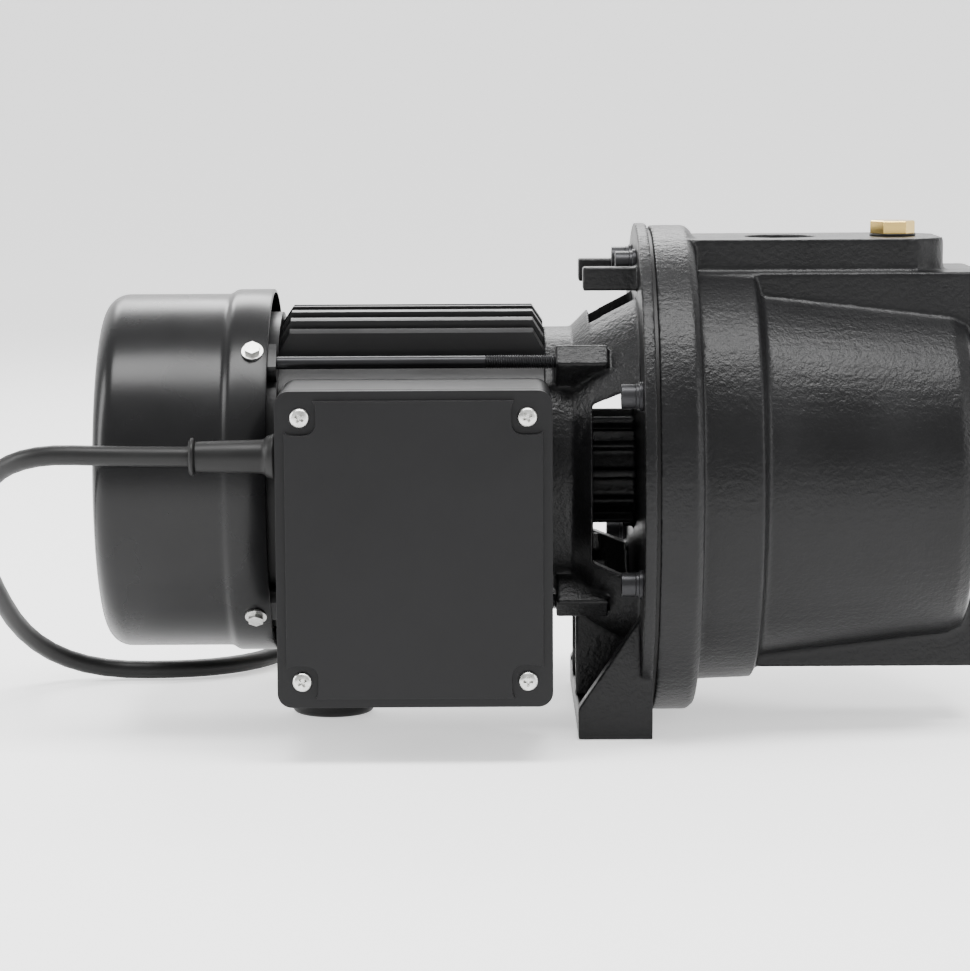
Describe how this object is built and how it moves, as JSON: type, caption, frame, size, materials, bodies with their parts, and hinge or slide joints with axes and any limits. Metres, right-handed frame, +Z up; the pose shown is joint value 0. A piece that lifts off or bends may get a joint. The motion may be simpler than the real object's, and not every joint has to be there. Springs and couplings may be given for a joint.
{
  "type": "shallow well jet pump",
  "caption": "Shallow well jet pump: finned motor with terminal box, lantern bracket with foot, cast casing with built-in ejector, brass plugs and power cord.",
  "frame": {"origin": "on the floor, centred between the two slotted foot bolt holes", "axes": "+X along the shaft towards the suction port, +Z up, +Y away from the terminal box"},
  "size_m": [0.4519, 0.3149, 0.2157],
  "materials": {
    "painted_iron": "semi-gloss black paint over cast iron",
    "painted_frame": "semi-gloss black paint over aluminium",
    "painted_sheet": "semi-gloss black paint",
    "zinc_steel": "zinc plated",
    "black_steel": "black oxide",
    "steel": "machined",
    "bearing_steel": "ground",
    "silicon_steel": "laminated",
    "aluminium": "cast",
    "copper": "enamelled wire",
    "brass": "machined",
    "black_plastic": "satin",
    "noryl": "moulded",
    "white_plastic": "satin",
    "rubber": "matte",
    "ceramic": "lapped"
  },
  "bodies": {
    "pump": {"motor_frame": "painted_frame", "rear_shield": "painted_frame", "stator_core": "silicon_steel", "stator_windings": "copper", "rear_bearing_outer": "bearing_steel", "front_bearing_outer": "bearing_steel", "wave_washer": "steel", "fan_cover": "painted_sheet", "cover_screws": "zinc_steel", "tie_rods": "black_steel", "support_foot": "rubber", "support_foot_screw": "zinc_steel", "terminal_box": "black_plastic", "box_gasket": "rubber", "box_mount_screws": "zinc_steel", "lid_gasket": "rubber", "terminal_box_lid": "black_plastic", "lid_screws": "zinc_steel", "terminal_block": "white_plastic", "terminal_screws": "zinc_steel", "capacitor": "white_plastic", "capacitor_clamp": "zinc_steel", "strain_relief": "rubber", "gland_nut": "black_plastic", "motor_bracket": "painted_iron", "flange_gasket": "rubber", "flange_screws": "black_steel", "flange_washers": "black_steel", "pump_casing": "painted_iron", "priming_washer": "rubber", "drain_washer": "rubber", "seal_seat": "ceramic", "diffuser": "noryl", "ejector_venturi": "noryl", "ejector_nozzle": "noryl", "venturi_o_ring": "rubber", "cord": "rubber", "cord_coil": "rubber", "cord_tie": "black_plastic", "plug_body": "rubber", "plug_blades": "brass"},
    "rotor": {"motor_shaft": "steel", "rotor_core": "silicon_steel", "rotor_cage": "aluminium", "rear_bearing_inner": "bearing_steel", "front_bearing_inner": "bearing_steel", "cooling_fan": "black_plastic", "fan_clip": "steel", "seal_rotating": "rubber", "water_slinger": "rubber", "impeller": "noryl", "impeller_key": "steel", "impeller_nut": "brass"},
    "priming_plug": {"priming_plug": "brass"},
    "drain_plug": {"drain_plug": "brass"}
  },
  "joints": [
    {"name": "rotor_spin", "type": "hinge", "parent": "pump", "child": "rotor", "pos_m": [0, 0, 0.108], "axis": [1, 0, 0], "continuous": true},
    {"name": "priming_plug_out", "type": "slide", "parent": "pump", "child": "priming_plug", "axis": [0, 0, 1], "range_m": [0, 0.02]},
    {"name": "drain_plug_out", "type": "slide", "parent": "pump", "child": "drain_plug", "axis": [1, 0, 0], "range_m": [0, 0.02]}
  ]
}
